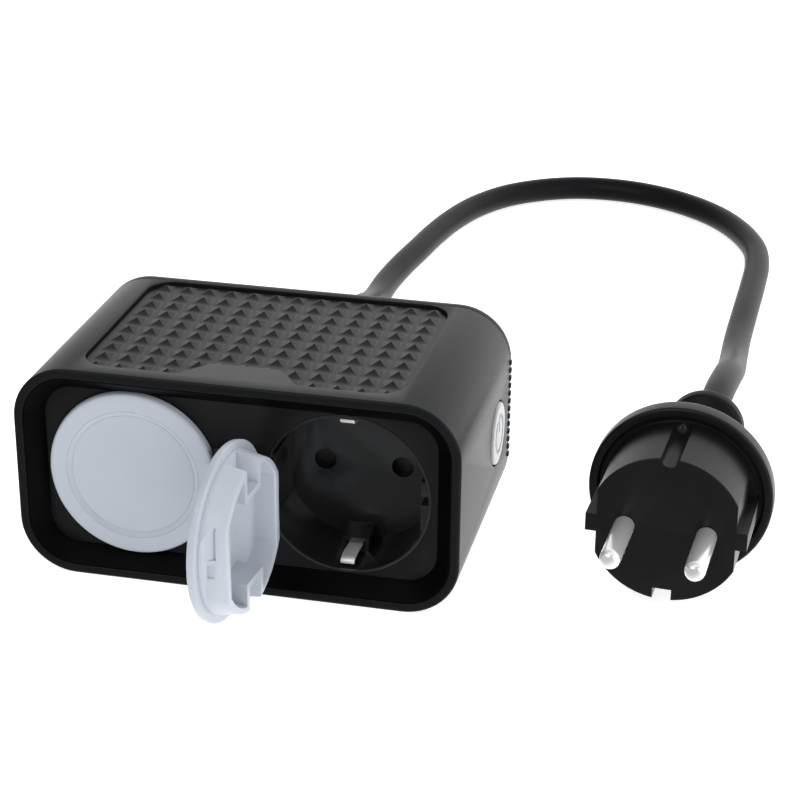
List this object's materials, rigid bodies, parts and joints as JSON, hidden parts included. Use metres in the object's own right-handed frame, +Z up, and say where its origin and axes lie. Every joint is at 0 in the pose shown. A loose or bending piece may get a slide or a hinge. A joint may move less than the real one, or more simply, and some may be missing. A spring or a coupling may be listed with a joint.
{
  "type": "smart plug",
  "caption": "Splash-proof twin outlet smart plug box with hinged round lids, a power button, a mains cord and a round two-pin plug.",
  "frame": {"origin": "centre of the box's underside", "axes": "+Z up, the outlets face -Y, +X towards the power button; the cord leaves at +Y"},
  "size_m": [0.1759, 0.3528, 0.053],
  "materials": {
    "housing_grey": "fine matte moulding",
    "grip_grey": "satin textured moulding",
    "black_plastic": "satin moulding",
    "black_rubber": "matte rubber",
    "lid_grey": "satin moulding",
    "button_white": "satin moulding",
    "clip_steel": "bright nickel plated spring steel",
    "pin_chrome": "polished nickel",
    "contact_brass": "tinned brass",
    "screw_steel": "zinc plated",
    "carrier_cream": "natural thermoset",
    "shutter_grey": "satin moulding",
    "board_green": "solder mask",
    "relay_blue": "moulded case",
    "module_black": "potted case",
    "shield_metal": "tin plated shield",
    "capacitor_sleeve": "shrink sleeve",
    "ceramic_white": "ceramic tube",
    "varistor_blue": "dipped coating",
    "terminal_green": "moulded block",
    "wire_insulation": "cord core insulation",
    "led_lens": "clear lens"
  },
  "bodies": {
    "box": {"housing": "housing_grey", "grip_panel": "grip_grey", "front_panel": "black_plastic", "front_seal": "black_rubber", "rear_cover": "black_plastic", "rear_seal": "black_rubber", "rear_screws": "screw_steel", "socket_left": "black_plastic", "socket_right": "black_plastic", "earth_clip_left": "clip_steel", "earth_clip_right": "clip_steel", "live_contact_left": "contact_brass", "neutral_contact_left": "contact_brass", "live_contact_right": "contact_brass", "neutral_contact_right": "contact_brass", "contact_carrier_left": "carrier_cream", "contact_carrier_right": "carrier_cream", "shutter_spring_left": "screw_steel", "shutter_spring_right": "screw_steel", "hinge_pin_left": "screw_steel", "hinge_pin_right": "screw_steel", "button_seal": "black_rubber", "button_board": "board_green", "button_switch": "module_black", "main_board": "board_green", "relay_left": "relay_blue", "relay_right": "relay_blue", "power_module": "module_black", "wireless_module": "shield_metal", "smoothing_capacitor": "capacitor_sleeve", "fuse": "ceramic_white", "surge_varistor": "varistor_blue", "terminal_block": "terminal_green", "core_wires": "wire_insulation", "status_led": "led_lens", "cable_gland": "black_rubber", "gland_nut": "black_plastic", "cord": "black_rubber", "plug_body": "black_rubber", "plug_grip": "black_rubber", "plug_pins": "pin_chrome", "plug_earth_contacts": "screw_steel"},
    "left_lid": {"lid_left": "lid_grey"},
    "right_lid": {"lid_right": "lid_grey"},
    "button": {"power_button": "button_white"},
    "left_shutter": {"shutter_left": "shutter_grey"},
    "right_shutter": {"shutter_right": "shutter_grey"}
  },
  "joints": [
    {"name": "left_lid_hinge", "type": "hinge", "parent": "box", "child": "left_lid", "pos_m": [-0.0045, -0.0298, 0.0265], "axis": [0, 0, 1], "range_deg": [0, 95]},
    {"name": "right_lid_hinge", "type": "hinge", "parent": "box", "child": "right_lid", "pos_m": [0.0045, -0.0298, 0.0265], "axis": [0, 0, 1], "range_deg": [0, 95]},
    {"name": "power_button_press", "type": "slide", "parent": "box", "child": "button", "axis": [-1, 0, 0], "range_m": [0, 0.0008], "stiffness_N_per_m": 900, "springref_m": -0.0008},
    {"name": "left_shutter_lift", "type": "slide", "parent": "box", "child": "left_shutter", "axis": [0, 0, 1], "range_m": [0, 0.0062], "stiffness_N_per_m": 120, "springref_m": -0.002, "deforming": ["shutter_spring_left"]},
    {"name": "right_shutter_lift", "type": "slide", "parent": "box", "child": "right_shutter", "axis": [0, 0, 1], "range_m": [0, 0.0062], "stiffness_N_per_m": 120, "springref_m": -0.002, "deforming": ["shutter_spring_right"]}
  ]
}
